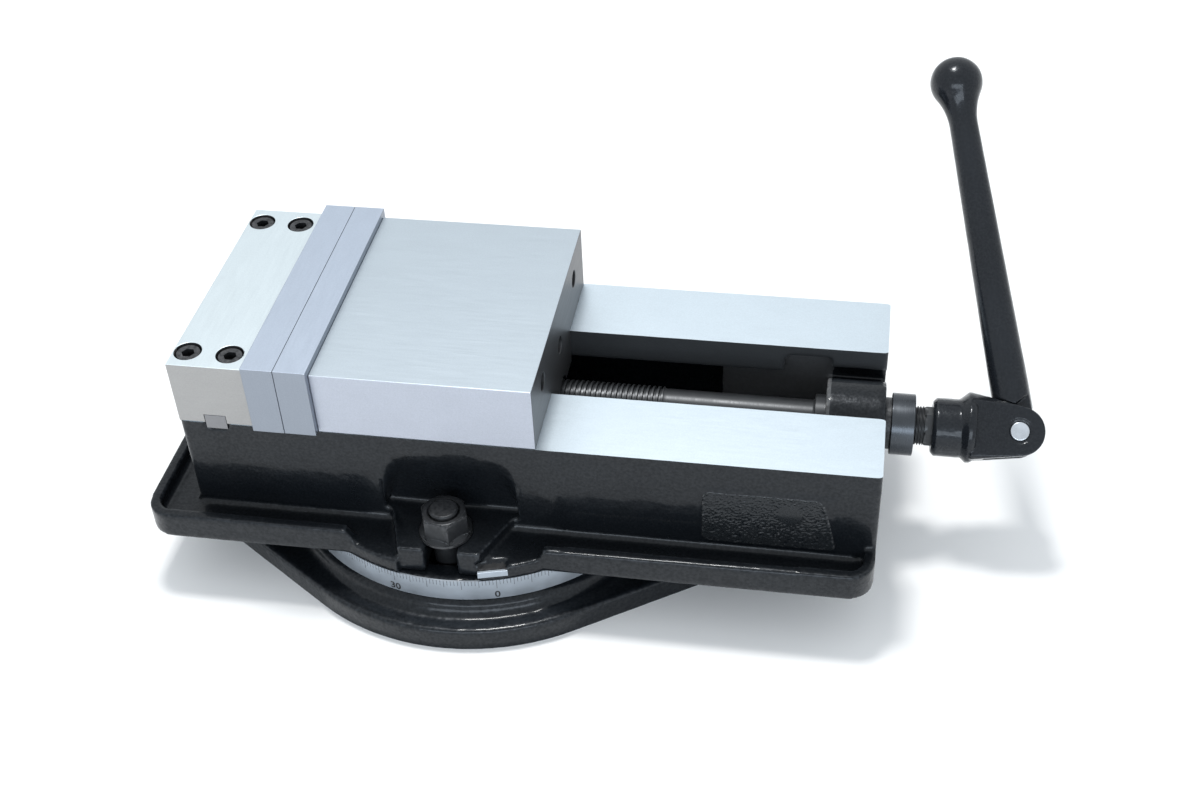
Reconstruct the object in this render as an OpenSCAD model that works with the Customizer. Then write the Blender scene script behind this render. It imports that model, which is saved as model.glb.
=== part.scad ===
// Milling-machine vise with a pull-down movable jaw, on a graduated swivel base.
// Origin: swivel axis on the underside of the base. +X runs along the bed to the crank, +Z is up.

/* [Bed casting] */
// Length of the ground bed
bed_l = 385; // [380:1:390]
// Distance from the swivel axis back to the stationary end of the bed
bed_back = 150; // [148:1:152]
// Width of the bed and of both jaws
bed_w = 152.4; // [150:0.2:156]
// Height of the ground bed above the table
bed_top = 106; // [105:0.5:108]
// Width of the slot between the two rails
slot_w = 57.8; // [56:0.2:60]
// Thickness of the lips that hold the nut down
lip_h = 19; // [18:0.5:20]
// Depth of the undercut beneath each lip, near the crank end
undercut = 9.5; // [9:0.5:10]

/* [Flange] */
// Half of the flange's width
flange_y = 99.5; // [98:0.5:101]
// How far the flange reaches past the stationary end
flange_tail = 25; // [22:1:28]
// Top of the raised rim
rim_top = 54; // [52:0.5:56]
// Thickness of the rim
rim_t = 6; // [5:0.5:7]
// Radius of the flange's corners
flange_r = 15; // [12:1:18]
// Underside of the flange
flange_z = 37.3; // [36.8:0.1:37.8]
// Floor of the coolant gutter
gutter_z = 45.5; // [45:0.5:46]
// Radius of the round swivel boss
boss_r = 113; // [112.6:0.1:114]
// Top of the two clamping pads
pad_top = 52.5; // [51:0.5:53.5]
// Distance of each clamp bolt from the swivel axis
bolt_y = 90; // [89:0.5:91]

/* [Jaws] */
// Length of the stationary jaw along the bed
fixed_jaw_l = 44; // [42:0.5:46]
// Length of the movable jaw along the bed
moving_jaw_l = 121; // [119:0.5:122]
// Height of both jaws above the bed
jaw_h = 39.5; // [38:0.5:41]
// Thickness of each jaw plate
plate_t = 18; // [17:0.5:19]
// Width of each jaw plate
plate_w = 160; // [156:1:164]
// Height of each jaw plate above the bed
plate_h = 43.4; // [42:0.2:45]
// Gap between the closed plates
closed_gap = 0.2; // [0.1:0.1:0.4]
// Height of the jaw-plate screws above the bed
plate_screw_z = 23.9; // [22:0.1:25]
// Half of the spacing of the jaw-plate screws
plate_screw_y = 47.6; // [46:0.1:50]

/* [Lead screw] */
// Height of the screw axis above the table
axis_z = 79; // [78.5:0.5:79.5]
// Outer radius of the thread and of the journal
screw_r = 11; // [10.8:0.1:11.2]
// Pitch of the left-hand thread
pitch = 3; // [2.5:0.5:3.5]
// Across flats of the crank hexagon
hex_af = 19; // [18:0.5:19]

/* [Crank] */
// Tilt of the crank's pivot pin below horizontal
crank_tilt = 45; // [0:5:60]
// Lean of the handle past square to the screw
handle_lean = 13.4; // [10:0.2:13.4]
// Distance from the pivot pin to the centre of the ball
handle_reach = 203; // [195:1:210]
// Radius of the ball at the end of the handle
ball_r = 14.7; // [14:0.1:16]

/* [Swivel base] */
// Radius of the base's round flange
base_r = 129.6; // [128:0.2:131]
// Thickness of the base's flange and lugs
base_t = 14; // [12.5:0.5:14]
// Radius of the graduated ring
ring_r = 112.5; // [112:0.1:112.5]
// Height of the top of the base
base_h = 36; // [35.5:0.1:36]
// Reach of the lugs from the swivel axis
lug_reach = 191; // [188:1:194]
// Half of the distance between the two table slots
lug_slot_x = 165; // [163:1:167]

/* [Hidden] */
$fn = 96;

eps = 0.01;
slide_gap = 0.1;            // between faces that slide on each other
run_gap = 0.05;             // radial clearance of a shaft in its bore
x0 = -bed_back;             // stationary end of the bed
x1 = x0 + bed_l;            // crank end of the bed
wall_y = bed_w / 2;
slot_y = slot_w / 2;
body_z = base_h + slide_gap;
lip_z = bed_top - lip_h;
cavity_z = 50;              // floor of the space under the rails
cavity_y = slot_y + undercut;
end_wall = 33;              // thickness of the wall that carries the screw
end_x = x1 - end_wall;
hump_r = 23;                // round top of that wall
slot_x0 = -84;
chamber_x1 = 140;           // the wider room behind this point
chamber_y = 48;
notch_x0 = 182.5;           // notches that let the nut's ears in from above
notch_x1 = 203.5;
notch_drop = 7;
notch_low = 13;
panel = [x0 + 291, x0 + 362, 50, 88];   // blank raised panel: from, to, bottom, top
panel_t = 0.8;
foot_h = 2.8;               // fillet where the walls meet the gutter floor
foot_w = 3;

// Rim and clamping pads
rim_gap_x0 = -50;           // the rim's sloping ends beside the boss, at the gutter floor
rim_gap_x1 = 53;
rim_slope = 7;              // run of each slope
rim_low = 52.4;             // the rim's lowest point, beside the boss on the crank side
pad_x0 = -37.5;
pad_x1 = 38;
pad_back = 68.5;            // also the back of the wrench room cut into the wall
pad_front = 107;
prong_x0 = -24;
prong_x1 = 22;
wrench_z0 = 58;             // the wrench room's sloping roof
wrench_z1 = 82;

jaw_z = bed_top + jaw_h;
plate_z = bed_top + plate_h;
fixed_plate_x = x0 + fixed_jaw_l;
grip_x = fixed_plate_x + plate_t;
moving_plate_x = grip_x + closed_gap;
moving_jaw_x = moving_plate_x + plate_t;
moving_jaw_x1 = moving_jaw_x + moving_jaw_l;
moving_z = bed_top + slide_gap;

// Stationary jaw: four cap screws and a cross key
cap_x = [x0 + 8.2, x0 + 32.2];
cap_y = 63.3;
cap_shank_r = 4;
cap_head_r = 6.7;
cap_head_h = 8;
cap_sink_r = 7.6;
cap_sink = 9;
key_x = x0 + 21.3;
key_w = 12.4;
key_drop = 4;
key_rise = 5.5;

// Jaw-plate screws
pscrew_r = 6;
pscrew_head_r = 9;
pscrew_head_h = 12;
pscrew_sink_r = 10;
pscrew_sink = 12.6;
pscrew_l = 25;
back_hole_r = 5.1;
back_hole_l = 15;

// Nut, ball segment and its socket
web_z = 91;                 // underside of the jaw's web
web_y = 16;
keel_z = 84;
hook_gap = 1.6;             // between the nut's push face and the jaw
nut_x0 = -60;
nut_x1 = -25;
nut_z0 = 58;
nut_top = 121;
hook_y = 18;
seg_r = 10;
seg_x = -52;
seg_z = 103;
set_z = bed_top + 12;
set_r = 5;

// Lead screw
thread_x0 = -82;
thread_x1 = 110;
thread_d = 1.6;             // depth of the thread
shank_r = 10;
shoulder_x = 196;
shoulder_r = 13.5;
bearing_x = end_x;
bearing_r = 17.5;
race_t = 3;
bearing_l = 10;
ball_n = 14;
thrust_ball_r = 1.9;
washer_r = 14.6;
washer_t = 3.7;
collar_r = 17.4;
collar_l = 12.9;
collar_x = x1 + slide_gap + washer_t;
hex_x = x1 + 22.3;
hex_end = x1 + 48;

// Crank
hub_x = x1 + 26.5;
hub_r = 16.4;
flare_x = hub_x + 14.5;     // the flare begins
fork_x = hub_x + 21.5;      // the fork begins
flare_r = 19.8;
flare_rise = 1;             // the forging's flare sits a little off the axis
fork_top = 20.2;            // the fork's flanks at its root
fork_bottom = 17.4;
pin_x = x1 + 73.6;
fork_y = 13.5;
fork_gap = 6.3;
fork_end_r = 13.7;
tongue_t = 12;
tongue_r = 11.8;
grip_z = 12;                // the grip begins, beside the tongue
grip_taper = 34;            // the grip begins to taper
pin_r = 5.2;
fork_root = pin_x - 17.5;
grip_r = 10.5;
neck_r = 8;
neck_fillet = 35;           // between the grip and the ball

// Swivel base
tslot_r = bolt_y;
neck_w = 18;
head_w = 26;
chamber_w = 30;
chamber_z0 = 14;
chamber_z1 = 26;
bolt_r = 8;
bolt_top = pad_top + 17.6;
nut_af = 24;
nut_h = 15.8;
nut_turn = -10;
pivot_r = 25;
pivot_z = 12;               // floor of the bore that holds the pivot
pivot_l = 33;
lug_angle = 34;             // angle between a lug's side and the X axis
table_slot_r = 9;
table_slot_l = 32;
index_a = -74.8;            // where the zero line's pointer stands
index_z0 = 38.9;
index_z1 = 43;

black_paint = [0.09, 0.10, 0.11];
black_oxide = [0.16, 0.16, 0.17];
ground = [0.82, 0.84, 0.85];
plate_steel = [0.66, 0.70, 0.76];
bright = [0.78, 0.80, 0.82];
hardened = [0.45, 0.46, 0.48];
bronze = [0.70, 0.52, 0.28];

function ring_arc(cx, cy, r, a0, a1, n) =
    [for (i = [0:n]) [cx + r * cos(a0 + (a1 - a0) * i / n), cy + r * sin(a0 + (a1 - a0) * i / n)]];

// A block from one corner to the opposite corner
module block(a, b) {
    translate(a) cube([b[0] - a[0], b[1] - a[1], b[2] - a[2]]);
}

// A cylinder along X from xa to xb, at height z and offset y
module rod_x(xa, xb, r, y = 0, z = axis_z) {
    translate([xa, y, z]) rotate([0, 90, 0]) cylinder(r = r, h = xb - xa);
}

// A hexagonal prism along X
module hex_x_prism(xa, xb, af, y = 0, z = axis_z) {
    translate([xa, y, z]) rotate([0, 90, 0]) cylinder(r = af / sqrt(3), h = xb - xa, $fn = 6);
}

// A rectangle with round corners, half-width y, from xa to xb
module rounded_plan(xa, xb, y, r) {
    translate([xa + r, -y]) square([xb - xa - 2 * r, 2 * y]);
    translate([xa, -y + r]) square([xb - xa, 2 * y - 2 * r]);
    for (x = [xa + r, xb - r], s = [-1, 1]) translate([x, s * (y - r)]) circle(r = r);
}

// An XZ outline extruded across the vise, half-width y
module across(points, y) {
    translate([0, y, 0]) rotate([90, 0, 0]) linear_extrude(2 * y) polygon(points);
}

// Socket-head cap screw, head up, seat of the head at the origin
module cap_screw(r, head_r, head_h, l) {
    difference() {
        union() {
            cylinder(r = head_r, h = head_h);
            translate([0, 0, -l]) cylinder(r = r, h = l + eps);
        }
        translate([0, 0, head_h * 0.4]) cylinder(r = r * 0.92, h = head_h, $fn = 6);
    }
}

// ---- bed casting ----

module flange_and_rim() {
    translate([0, 0, flange_z]) linear_extrude(gutter_z - flange_z)
        rounded_plan(x0 - flange_tail, x1, flange_y, flange_r);
    difference() {
        translate([0, 0, flange_z]) linear_extrude(rim_top - flange_z)
            rounded_plan(x0 - flange_tail, x1, flange_y, flange_r);
        translate([0, 0, gutter_z]) linear_extrude(rim_top)
            rounded_plan(x0 - flange_tail + rim_t, x1 - rim_t, flange_y - rim_t, flange_r - rim_t);
        // the rim stops short of the boss, with sloping ends, and rises slowly towards the crank
        across([[rim_gap_x0, gutter_z], [rim_gap_x1, gutter_z], [rim_gap_x1 + rim_slope / 2, rim_low],
                [x1 - flange_r, rim_top], [x1 - flange_r, rim_top + 1],
                [rim_gap_x0 - rim_slope, rim_top + 1]], flange_y + 5);
    }
    difference() {
        translate([0, 0, body_z]) cylinder(r = boss_r, h = gutter_z - body_z, $fn = 180);
        // flat ahead of the prongs
        for (s = [0, 1]) mirror([0, s, 0])
            block([prong_x0, -boss_r - 1, body_z - 1], [prong_x1, -pad_front, gutter_z + 1]);
    }
}

// A small fillet-like foot along both side walls
module wall_foot() {
    half = [[0, gutter_z - 1], [wall_y + foot_w, gutter_z - 1], [wall_y + foot_w, gutter_z],
            [wall_y + foot_w / 3, gutter_z + foot_h / 3], [wall_y, gutter_z + foot_h],
            [0, gutter_z + foot_h]];
    for (s = [0, 1]) mirror([0, s, 0]) translate([x0 + 1, 0, 0]) rotate([90, 0, 90])
        linear_extrude(bed_l - 12) polygon(half);
}

// A clamping pad on the near side; its front carries the open bolt slot
module clamp_pad() {
    translate([0, 0, gutter_z - 1]) linear_extrude(pad_top - gutter_z + 1)
        polygon([[pad_x0, -60], [pad_x1, -60], [pad_x1, -pad_back], [prong_x1, -pad_front],
                 [prong_x0, -pad_front], [pad_x0, -pad_back]]);
    block([prong_x0, -pad_front, body_z], [prong_x1, -95, pad_top]);
}

module bolt_slot() {
    translate([0, -bolt_y, body_z - 1]) cylinder(r = neck_w / 2, h = 30);
    block([-neck_w / 2, -boss_r - 5, body_z - 1], [neck_w / 2, -bolt_y, body_z + 29]);
    // wrench room cut into the wall behind the nut, under a sloping roof
    translate([pad_x0 - 0.5, 0, 0]) rotate([90, 0, 90]) linear_extrude(pad_x1 - pad_x0 + 1)
        polygon([[-wall_y - 5, pad_top], [-pad_back, pad_top], [-pad_back, wrench_z0],
                 [-wall_y - 0.1, wrench_z1], [-wall_y - 5, wrench_z1]]);
}

module bed_cavity() {
    // slot between the rails, open at the top and at the crank end
    block([slot_x0, -slot_y, lip_z - 1], [x1 + 1, slot_y, bed_top + 1]);
    // space under the lips
    block([slot_x0, -cavity_y, cavity_z], [end_x, cavity_y, lip_z]);
    block([slot_x0 - 12, -chamber_y, cavity_z], [chamber_x1, chamber_y, lip_z]);
    // room above and beside the end wall, and the notches that let the nut's ears in
    block([end_x - eps, -cavity_y, axis_z], [x1 + 1, cavity_y, bed_top - 13.5]);
    block([notch_x0, -cavity_y, lip_z - 1], [notch_x1, cavity_y, bed_top - notch_drop]);
    block([notch_x0 - 6, -cavity_y, lip_z - 1], [notch_x0 + 1, cavity_y, bed_top - notch_low]);
    translate([notch_x0, cavity_y, bed_top - notch_low]) rotate([90, 0, 0])
        cylinder(r = notch_low - notch_drop, h = 2 * cavity_y);
}

module vise_body() {
    color(black_paint)
    difference() {
        union() {
            difference() {
                union() {
                    flange_and_rim();
                    block([x0, -wall_y, flange_z], [x1, wall_y, bed_top]);
                    wall_foot();
                    for (s = [0, 1]) mirror([0, s, 0]) clamp_pad();
                    block([panel[0], -wall_y - panel_t, panel[2]], [panel[1], 0, panel[3]]);
                }
                bed_cavity();
                for (s = [0, 1]) mirror([0, s, 0]) bolt_slot();
            }
            rod_x(end_x, x1, hump_r);
        }
        rod_x(end_x - 1, x1 + 1, screw_r + run_gap);
        rod_x(end_x - 1, end_x + bearing_l, bearing_r + 0.1);
        translate([0, 0, body_z - 1]) cylinder(r = pivot_r + run_gap, h = 11.4);
        key_shape(0);
        for (x = cap_x, s = [-1, 1])
            translate([x, s * cap_y, bed_top - 26]) cylinder(r = cap_shank_r, h = 27);
        index_seat();
    }
}

// The pointer's seat in the boss: a shallow recess, and above it a milled step with a round end
module index_seat() {
    r = 3.2;
    rotate([0, 0, index_a]) {
        block([boss_r - 1.8, -8.9, index_z0 - 0.1], [boss_r + 5, 8.9, index_z1]);
        block([boss_r - 7, -8.9, index_z1 - eps], [boss_r + 5, 8.9 - r, gutter_z + 1]);
        translate([boss_r - 7, 8.9 - r, index_z1 + r]) rotate([0, 90, 0]) cylinder(r = r, h = 12);
    }
}

module index_plate() {
    color(bright)
    rotate([0, 0, index_a]) block([boss_r - 1.8, -8.4, index_z0], [boss_r - 0.1, 8.4, index_z1]);
}

// ---- stationary jaw ----

module key_shape(trim) {
    block([key_x - key_w / 2, -wall_y - 1 + trim, bed_top - key_drop],
          [key_x + key_w / 2, wall_y + 1 - trim, bed_top + key_rise]);
}

module stationary_jaw() {
    color(ground)
    difference() {
        block([x0, -wall_y, bed_top], [fixed_plate_x, wall_y, jaw_z]);
        key_shape(0);
        for (x = cap_x, s = [-1, 1]) translate([x, s * cap_y, 0]) {
            translate([0, 0, bed_top - 1]) cylinder(r = cap_shank_r + 0.5, h = jaw_h + 2);
            translate([0, 0, jaw_z - cap_sink]) cylinder(r = cap_sink_r, h = cap_sink + 1);
        }
        for (s = [-1, 1]) {
            rod_x(fixed_plate_x - pscrew_l + 5, fixed_plate_x + 1, pscrew_r, s * plate_screw_y,
                  bed_top + plate_screw_z);
            rod_x(x0 - 1, x0 + back_hole_l, back_hole_r, s * plate_screw_y, bed_top + plate_screw_z);
        }
    }
}

module stationary_jaw_key() {
    color(bright) key_shape(1);
}

module stationary_jaw_screws() {
    color(black_oxide)
    for (x = cap_x, s = [-1, 1]) translate([x, s * cap_y, jaw_z - cap_sink])
        cap_screw(cap_shank_r, cap_head_r, cap_head_h, jaw_h - cap_sink + 24);
}

module jaw_plate(face_x, back_x, z) {
    color(plate_steel)
    difference() {
        block([min(face_x, back_x), -plate_w / 2, z], [max(face_x, back_x), plate_w / 2, plate_z]);
        for (s = [-1, 1]) translate([back_x, s * plate_screw_y, bed_top + plate_screw_z])
            rotate([0, face_x > back_x ? 90 : -90, 0]) {
                translate([0, 0, -1]) cylinder(r = pscrew_r + 0.5, h = plate_t + 2);
                translate([0, 0, plate_t - pscrew_sink]) cylinder(r = pscrew_sink_r, h = pscrew_sink + 1);
            }
    }
}

module plate_screws(back_x, turn) {
    color(black_oxide)
    for (s = [-1, 1]) translate([back_x, s * plate_screw_y, bed_top + plate_screw_z]) rotate([0, turn, 0])
        translate([0, 0, plate_t - pscrew_sink])
            cap_screw(pscrew_r, pscrew_head_r, pscrew_head_h, pscrew_l);
}

module fixed_jaw_plate() {
    jaw_plate(grip_x, fixed_plate_x, bed_top);
}

module fixed_jaw_plate_screws() {
    plate_screws(fixed_plate_x, 90);
}

// ---- movable jaw ----

module movable_jaw_plate() {
    jaw_plate(moving_plate_x, moving_jaw_x, moving_z);
}

module movable_jaw_plate_screws() {
    plate_screws(moving_jaw_x, -90);
}

// The line x + z = seg_x + seg_z is the nut's 45-degree push face
module movable_jaw() {
    push = seg_x + seg_z;
    color(ground)
    difference() {
        union() {
            block([moving_jaw_x, -wall_y, moving_z], [moving_jaw_x1, wall_y, jaw_z]);
            // web that holds the ball segment, below the bed surface
            across([[moving_jaw_x, web_z], [push - web_z - hook_gap, web_z],
                    [push - moving_z - hook_gap, moving_z + eps], [moving_jaw_x, moving_z + eps]], web_y);
            // keel between the rails, behind the nut
            block([nut_x1 + 7, -slot_y + slide_gap, keel_z],
                  [moving_jaw_x1, slot_y - slide_gap, moving_z + eps]);
        }
        // pocket for the nut's hook
        across([[push - moving_z - hook_gap, moving_z - eps], [nut_x1 + 4, moving_z - eps],
                [nut_x1 + 4, nut_top + 3], [nut_x0 - 4, nut_top + 3],
                [nut_x0 - 4, push - nut_x0 + 4 - hook_gap], [push - moving_z - hook_gap, moving_z]],
               hook_y + 3);
        translate([seg_x, 0, seg_z]) sphere(r = seg_r + run_gap);
        rod_x(nut_x1 + 6, moving_jaw_x1 + 1, screw_r + 2);
        rod_x(nut_x1 + 3, moving_jaw_x1 + 1, set_r, 0, set_z);
        for (s = [-1, 1]) {
            rod_x(moving_jaw_x - 1, moving_jaw_x + pscrew_l - 5, pscrew_r, s * plate_screw_y,
                  bed_top + plate_screw_z);
            rod_x(moving_jaw_x1 - back_hole_l, moving_jaw_x1 + 1, back_hole_r, s * plate_screw_y,
                  bed_top + plate_screw_z);
        }
    }
}

module jaw_nut() {
    push = seg_x + seg_z;
    ear_y = cavity_y - 0.9;
    color(hardened)
    difference() {
        union() {
            block([nut_x0, -slot_y + 2, nut_z0], [nut_x1, slot_y - 2, lip_z]);
            block([nut_x0 + 5, -ear_y, 66], [nut_x1 - 5, ear_y, lip_z - 0.3]);
            across([[push - lip_z + 0.4, lip_z - eps], [nut_x1, lip_z - eps], [nut_x1, nut_top],
                    [nut_x0, nut_top], [nut_x0, push - nut_x0 + 0.1], [push - lip_z + 0.1, lip_z]], hook_y);
        }
        rod_x(nut_x0 - 1, nut_x1 + 1, screw_r + run_gap);
    }
}

module ball_segment() {
    color(hardened)
    translate([seg_x, 0, seg_z]) rotate([0, -135, 0])
        rotate_extrude() polygon(concat([[0, 0]], ring_arc(0, 0, seg_r, 0, 90, 24)));
}

module jaw_set_screw() {
    color(black_oxide)
    difference() {
        rod_x(nut_x1 + 0.2, nut_x1 + 22, set_r, 0, set_z);
        hex_x_prism(nut_x1 + 15, nut_x1 + 23, 5, 0, set_z);
    }
}

// ---- lead screw ----

module lead_screw() {
    turns = floor((thread_x1 - thread_x0) / pitch);
    crest = pitch * 0.36;
    flank = pitch * 0.14;
    thread = [for (i = [0:turns - 1], p = [[0, screw_r], [crest, screw_r],
        [crest + flank, screw_r - thread_d], [2 * crest + flank, screw_r - thread_d]])
        [p[1], thread_x0 + i * pitch + p[0]]];
    outline = concat([[0, thread_x0]], thread,
        [[screw_r, thread_x1 - eps], [shank_r, thread_x1 + 1], [shank_r, shoulder_x],
         [shoulder_r, shoulder_x], [shoulder_r, bearing_x], [screw_r, bearing_x], [screw_r, hex_x - 1],
         [screw_r - 1, hex_x + eps], [0, hex_x + eps]]);
    color(hardened)
    union() {
        translate([0, 0, axis_z]) rotate([0, 90, 0]) rotate_extrude() polygon(outline);
        on_crank() hex_x_prism(hex_x, hex_end, hex_af, 0, 0);
    }
}

module washer(xa, xb, ro, ri) {
    difference() {
        rod_x(xa, xb, ro);
        rod_x(xa - 1, xb + 1, ri);
    }
}

module thrust_washer_inner() {
    color(bright) washer(bearing_x, bearing_x + race_t, bearing_r, screw_r);
}

module thrust_washer_outer() {
    color(bright) washer(bearing_x + bearing_l - race_t, bearing_x + bearing_l, bearing_r + 0.1,
                         screw_r + 0.3);
}

module at_thrust_balls() {
    for (i = [0:ball_n - 1]) translate([bearing_x + bearing_l / 2, 0, axis_z])
        rotate([i * 360 / ball_n, 0, 0]) translate([0, 0, (bearing_r + screw_r) / 2]) children();
}

module thrust_cage() {
    color(bronze)
    difference() {
        washer(bearing_x + bearing_l / 2 - 1, bearing_x + bearing_l / 2 + 1, bearing_r - 0.6, screw_r + 0.4);
        at_thrust_balls() rotate([0, 90, 0]) translate([0, 0, -3])
            cylinder(r = thrust_ball_r + run_gap, h = 6, $fn = 32);
    }
}

module thrust_balls() {
    color(bright) at_thrust_balls() sphere(r = thrust_ball_r, $fn = 32);
}

module end_washer() {
    color(black_oxide) washer(x1 + slide_gap, x1 + slide_gap + washer_t, washer_r, screw_r);
}

module screw_collar() {
    color(black_oxide)
    difference() {
        washer(collar_x, collar_x + collar_l, collar_r, screw_r);
        translate([collar_x + collar_l / 2, 0, axis_z]) rotate([180, 0, 0])
            cylinder(r = 3, h = collar_r + 1);
    }
}

module collar_set_screw() {
    color(black_oxide)
    translate([collar_x + collar_l / 2, 0, axis_z]) rotate([180, 0, 0]) difference() {
        translate([0, 0, screw_r]) cylinder(r = 3, h = collar_r - screw_r - 0.6);
        translate([0, 0, screw_r + 2.5]) cylinder(r = 1.7, h = collar_r, $fn = 6);
    }
}

// ---- crank ----

// Turns its children with the crank, about the screw axis; local +Y is the pin's far end
module on_crank() {
    translate([0, 0, axis_z]) rotate([-crank_tilt, 0, 0]) children();
}

// Side outline of the fork about its pin, grown for clearance
module fork_side(grow) {
    root = fork_x - pin_x;
    polygon(concat([[root, -fork_bottom - grow]], ring_arc(0, 0, fork_end_r + grow, -74, 74, 40),
                   [[root, fork_top + grow]]));
}

module crank_hub() {
    color(black_paint)
    on_crank() difference() {
        union() {
            rotate([0, 90, 0]) rotate_extrude() polygon([
                [0, hub_x], [hub_r - 2.2, hub_x], [hub_r, hub_x + 2], [hub_r, flare_x + 1],
                [0, flare_x + 1]]);
            translate([0, 0, flare_rise]) rotate([0, 90, 0]) rotate_extrude() polygon([
                [0, flare_x - 1], [hub_r - flare_rise, flare_x - 1], [hub_r - flare_rise, flare_x],
                [flare_r, flare_x + 5], [flare_r, fork_x], [flare_r - 1.2, fork_x + 2], [0, fork_x + 2]]);
            // a flat slab, rounded like the flare it grows from
            intersection() {
                translate([pin_x, fork_y, 0]) rotate([90, 0, 0]) linear_extrude(2 * fork_y) fork_side(0);
                rotate([0, 90, 0]) rotate_extrude() polygon([
                    [0, fork_x - 1], [flare_r + 0.8, fork_x - 1], [flare_r - 0.4, pin_x],
                    [flare_r - 0.4, pin_x + 20], [0, pin_x + 20]]);
            }
        }
        block([fork_root, -fork_gap, -30], [pin_x + 30, fork_gap, 30]);
        rotate([-90, 0, 0]) translate([pin_x, 0, -fork_y - 1]) cylinder(r = pin_r, h = 2 * fork_y + 2);
        for (s = [-1, 1]) rotate([-90 * s, 0, 0]) translate([pin_x, 0, fork_y - 0.7])
            cylinder(r = pin_r + 1.8, h = 2);
        hex_x_prism(hub_x - 1, hex_end + 1, hex_af + 0.2, 0, 0);
    }
}

module crank_pivot_pin() {
    color(bright)
    on_crank() rotate([-90, 0, 0]) translate([pin_x, 0, -fork_y - 0.2])
        cylinder(r = pin_r, h = 2 * fork_y + 0.4);
}

// The handle along local +Z from the pin, then leant back towards the vise
module crank_handle() {
    rise = sqrt(pow(ball_r + neck_fillet, 2) - pow(neck_r + neck_fillet, 2));
    blend = atan(rise / (neck_r + neck_fillet));
    grip = concat(
        [[0, grip_z], [grip_r, grip_z], [grip_r, grip_taper]],
        ring_arc(neck_r + neck_fillet, handle_reach - rise, neck_fillet, 180, 180 - blend, 12),
        ring_arc(0, handle_reach, ball_r, -blend, 90, 32));
    color(black_paint)
    on_crank() translate([pin_x, 0, 0]) rotate([0, -handle_lean, 0])
        difference() {
            union() {
                rotate_extrude() polygon(grip);
                translate([0, tongue_t / 2, 0]) rotate([90, 0, 0]) cylinder(r = tongue_r, h = tongue_t);
                block([-grip_r + 1, -tongue_t / 2, 0], [grip_r - 1, tongue_t / 2, grip_z + 1]);
            }
            translate([0, fork_y, 0]) rotate([90, 0, 0]) cylinder(r = pin_r + run_gap, h = 2 * fork_y);
            // shoulders that clear the fork at both ends of the handle's swing
            for (s = [0, 1], t = [0, 1]) mirror([s, 0, 0]) mirror([0, t, 0]) rotate([0, handle_lean, 0])
                translate([0, fork_y, 0]) rotate([90, 0, 0]) linear_extrude(fork_y - tongue_t / 2 - 0.1)
                    fork_side(0.4);
        }
}

// ---- swivel base ----

module base_lug() {
    t = [sin(lug_angle), cos(lug_angle)] * base_r;
    tip_y = 30;
    tip_x = (base_r - tip_y * cos(lug_angle)) / sin(lug_angle);
    difference() {
        intersection() {
            linear_extrude(base_t) polygon([[0, t[1]], [t[0], t[1]], [tip_x, tip_y], [tip_x + 9, tip_y - 13],
                [tip_x + 9, 13 - tip_y], [tip_x, -tip_y], [t[0], -t[1]], [0, -t[1]]]);
            cylinder(r = lug_reach, h = base_t, $fn = 180);
        }
        cylinder(r = base_r - 20, h = base_t * 3, center = true);
    }
}

module table_slot() {
    half = table_slot_l / 2 - table_slot_r;
    for (x = [-half, half]) translate([lug_slot_x + x, 0, -1]) cylinder(r = table_slot_r, h = base_t + 2);
    block([lug_slot_x - half, -table_slot_r, -1], [lug_slot_x + half, table_slot_r, base_t + 1]);
}

module swivel_base() {
    n1 = (tslot_r - neck_w / 2);
    n2 = (tslot_r + neck_w / 2);
    c1 = (tslot_r - chamber_w / 2);
    c2 = (tslot_r + chamber_w / 2);
    step = ring_arc(122, 20, 6.5, 270, 180, 10);
    outline = concat(
        [[0, 0], [base_r, 0], [base_r, base_t], [123, base_t]], step,
        [[115.5, 20.2], [ring_r - 1.2, 20.6], [ring_r - 1.2, 21.8], [ring_r, 21.8], [ring_r, base_h],
         [n2, base_h], [n2, chamber_z1], [c2, chamber_z1], [c2, chamber_z0], [c1, chamber_z0],
         [c1, chamber_z1], [n1, chamber_z1], [n1, base_h], [pivot_r, base_h],
         [pivot_r, pivot_z], [0, pivot_z]]);
    color(black_paint)
    difference() {
        union() {
            rotate_extrude($fn = 240) polygon(outline);
            for (s = [0, 1]) mirror([s, 0, 0]) base_lug();
        }
        // relief under the casting
        rotate_extrude($fn = 120) polygon([[42, -1], [66, -1], [66, 24], [42, 24]]);
        for (s = [0, 1]) mirror([s, 0, 0]) table_slot();
    }
}

module swivel_pivot() {
    color(bright) translate([0, 0, pivot_z]) cylinder(r = pivot_r, h = pivot_l);
}

module t_bolt() {
    shank_z = chamber_z0 + 2;
    color(black_oxide)
    translate([0, -bolt_y, 0]) {
        translate([-head_w / 2, -head_w / 2, chamber_z0 + 1])
            cube([head_w, head_w, chamber_z1 - chamber_z0 - 1.3]);
        translate([0, 0, shank_z]) cylinder(r = bolt_r, h = bolt_top - 1 - shank_z);
        translate([0, 0, bolt_top - 1 - eps]) cylinder(r1 = bolt_r, r2 = bolt_r - 0.8, h = 1);
    }
}

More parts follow.
